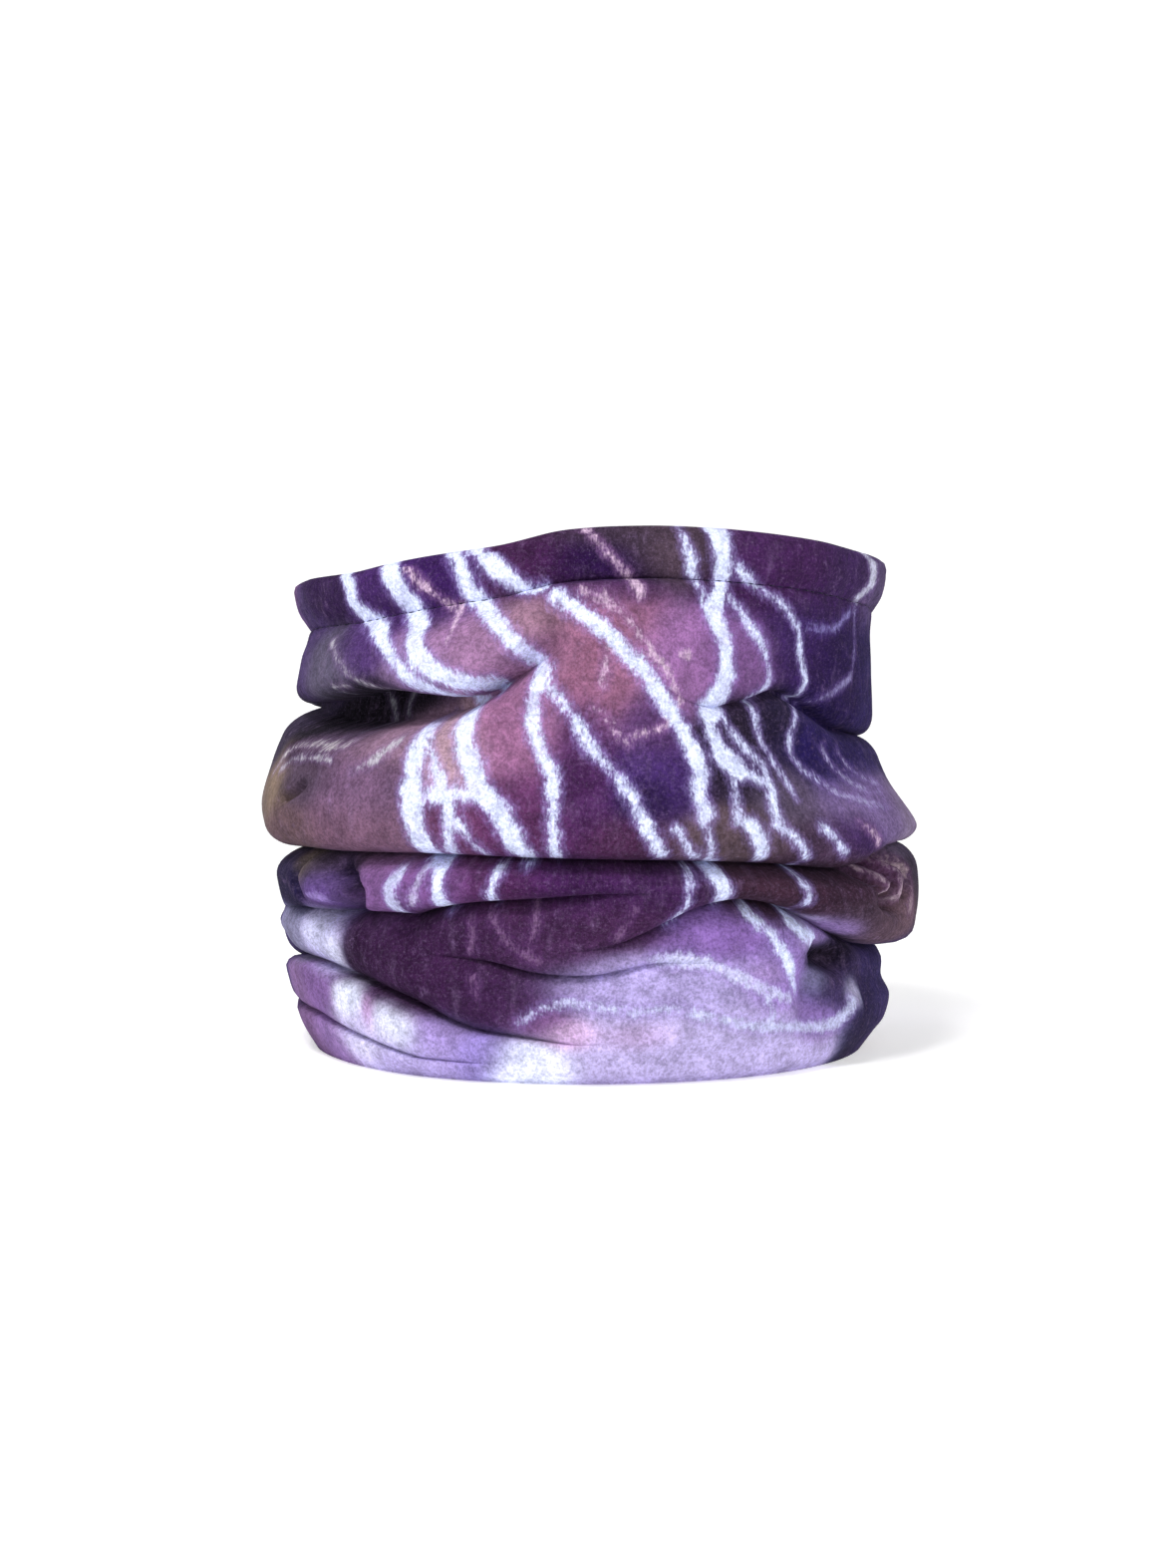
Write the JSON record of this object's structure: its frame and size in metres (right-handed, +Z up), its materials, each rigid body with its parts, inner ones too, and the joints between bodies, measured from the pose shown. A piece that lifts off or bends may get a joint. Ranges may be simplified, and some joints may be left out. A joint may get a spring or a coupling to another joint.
{
  "type": "neck gaiter",
  "caption": "Tube of printed fleece with turned and stitched hems, standing bunched in soft folds, to be worn round the neck.",
  "frame": {"origin": "middle of the ring that the bunched tube stands on", "axes": "+Z up along the tube's axis, the front faces -Y and the back seam is at +Y, +X is to the right seen from the front"},
  "size_m": [0.176, 0.1759, 0.1285],
  "materials": {
    "printed_fleece": "plush fleece with a purple, plum and white marbled print",
    "hem_thread": "dark polyester sewing thread",
    "overlock_thread": "textured polyester overlock thread",
    "label_ribbon": "white satin ribbon with no lettering"
  },
  "bodies": {
    "gaiter": {"shell_fleece": "printed_fleece", "top_hem_needle_thread": "hem_thread", "top_hem_bobbin_thread": "hem_thread", "bottom_hem_needle_thread": "hem_thread", "bottom_hem_bobbin_thread": "hem_thread", "back_seam_left_needle_thread": "overlock_thread", "back_seam_right_needle_thread": "overlock_thread", "back_seam_upper_looper_thread": "overlock_thread", "back_seam_lower_looper_thread": "overlock_thread"},
    "label": {"care_label": "label_ribbon"}
  },
  "joints": [
    {"name": "label_flap", "type": "hinge", "parent": "gaiter", "child": "label", "pos_m": [0, 0.0698, 0.1075], "axis": [-1, 0, 0], "range_deg": [0, 80]}
  ]
}
